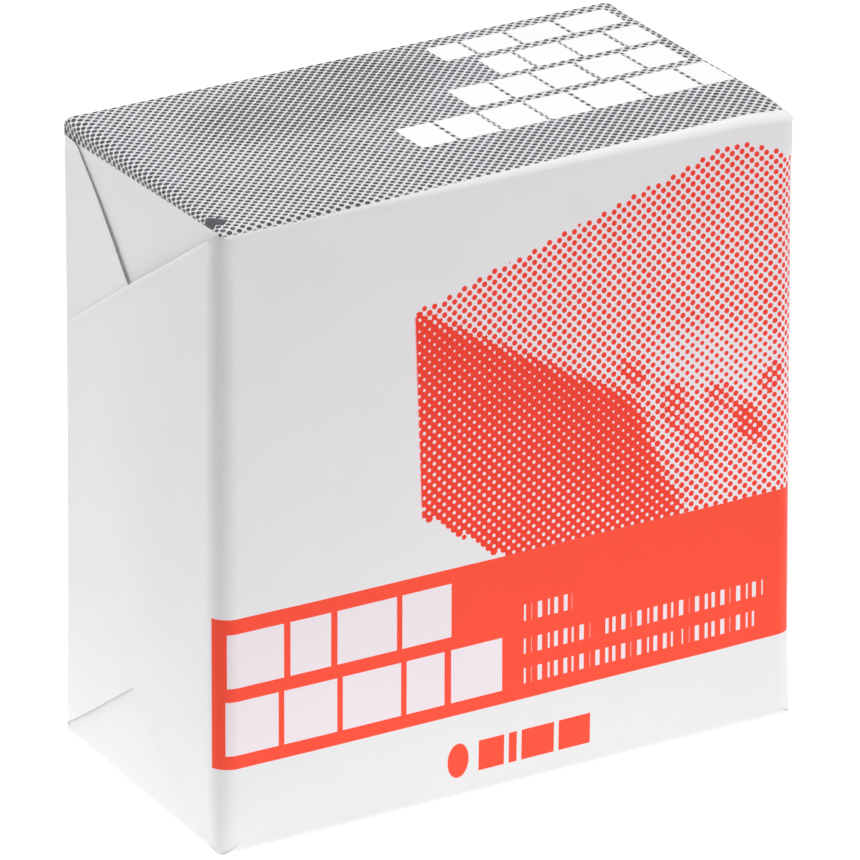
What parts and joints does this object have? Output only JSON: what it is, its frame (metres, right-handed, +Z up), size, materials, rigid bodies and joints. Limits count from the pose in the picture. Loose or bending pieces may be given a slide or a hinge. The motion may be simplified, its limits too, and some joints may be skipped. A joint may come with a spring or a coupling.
{
  "type": "gymnastics chalk block",
  "caption": "Pressed magnesium carbonate chalk block wrapped in one sheet of printed paper, with folded end flaps that open.",
  "frame": {"origin": "middle of the resting face", "axes": "+Z up, X along the wide printed front, the front faces -Y and the glued seam faces +Y"},
  "size_m": [0.066, 0.0346, 0.068],
  "materials": {
    "pressed_chalk": "matte, dusty",
    "front_print": "semi-gloss coated white paper with a red-orange print",
    "top_print": "semi-gloss coated white paper with a black halftone print",
    "plain_paper": "semi-gloss coated white paper",
    "adhesive": "dried glue, translucent"
  },
  "bodies": {
    "wrapper": {"chalk_block": "pressed_chalk", "front_panel": "front_print", "back_panel": "plain_paper", "top_panel": "top_print", "bottom_panel": "plain_paper", "seam_lap": "plain_paper", "seam_glue": "adhesive"},
    "left_front_flap": {"left_front_flap": "plain_paper", "left_front_flap_upper_gusset": "plain_paper", "left_front_flap_lower_gusset": "plain_paper", "left_flap_glue": "adhesive"},
    "left_back_flap": {"left_back_flap": "plain_paper", "left_back_flap_upper_gusset": "plain_paper", "left_back_flap_lower_gusset": "plain_paper"},
    "left_top_tuck": {"left_top_tuck": "plain_paper"},
    "left_bottom_tuck": {"left_bottom_tuck": "plain_paper"},
    "right_front_flap": {"right_front_flap": "plain_paper", "right_front_flap_upper_gusset": "plain_paper", "right_front_flap_lower_gusset": "plain_paper", "right_flap_glue": "adhesive"},
    "right_back_flap": {"right_back_flap": "plain_paper", "right_back_flap_upper_gusset": "plain_paper", "right_back_flap_lower_gusset": "plain_paper"},
    "right_top_tuck": {"right_top_tuck": "plain_paper"},
    "right_bottom_tuck": {"right_bottom_tuck": "plain_paper"}
  },
  "joints": [
    {"name": "left_front_flap_crease", "type": "hinge", "parent": "wrapper", "child": "left_front_flap", "pos_m": [-0.033, -0.0173, 0.034], "axis": [0, 0, 1], "range_deg": [0, 135]},
    {"name": "left_back_flap_crease", "type": "hinge", "parent": "wrapper", "child": "left_back_flap", "pos_m": [-0.03271, 0.0173, 0.034], "axis": [0, 0, -1], "range_deg": [0, 105.5]},
    {"name": "left_top_tuck_crease", "type": "hinge", "parent": "wrapper", "child": "left_top_tuck", "pos_m": [-0.03242, 0, 0.068], "axis": [0, 1, 0], "range_deg": [0, 92]},
    {"name": "left_bottom_tuck_crease", "type": "hinge", "parent": "wrapper", "child": "left_bottom_tuck", "pos_m": [-0.03242, 0, 0], "axis": [0, -1, 0], "range_deg": [0, 92]},
    {"name": "right_front_flap_crease", "type": "hinge", "parent": "wrapper", "child": "right_front_flap", "pos_m": [0.033, -0.0173, 0.034], "axis": [0, 0, -1], "range_deg": [0, 135]},
    {"name": "right_back_flap_crease", "type": "hinge", "parent": "wrapper", "child": "right_back_flap", "pos_m": [0.03271, 0.0173, 0.034], "axis": [0, 0, 1], "range_deg": [0, 105.5]},
    {"name": "right_top_tuck_crease", "type": "hinge", "parent": "wrapper", "child": "right_top_tuck", "pos_m": [0.03242, 0, 0.068], "axis": [0, -1, 0], "range_deg": [0, 92]},
    {"name": "right_bottom_tuck_crease", "type": "hinge", "parent": "wrapper", "child": "right_bottom_tuck", "pos_m": [0.03242, 0, 0], "axis": [0, 1, 0], "range_deg": [0, 92]}
  ],
  "couplings": [
    {"joint": "left_back_flap_crease", "follows": "left_front_flap_crease", "ratio": 0.78},
    {"joint": "left_top_tuck_crease", "follows": "left_front_flap_crease", "ratio": 0.68},
    {"joint": "left_bottom_tuck_crease", "follows": "left_front_flap_crease", "ratio": 0.68},
    {"joint": "right_back_flap_crease", "follows": "right_front_flap_crease", "ratio": 0.78},
    {"joint": "right_top_tuck_crease", "follows": "right_front_flap_crease", "ratio": 0.68},
    {"joint": "right_bottom_tuck_crease", "follows": "right_front_flap_crease", "ratio": 0.68}
  ]
}
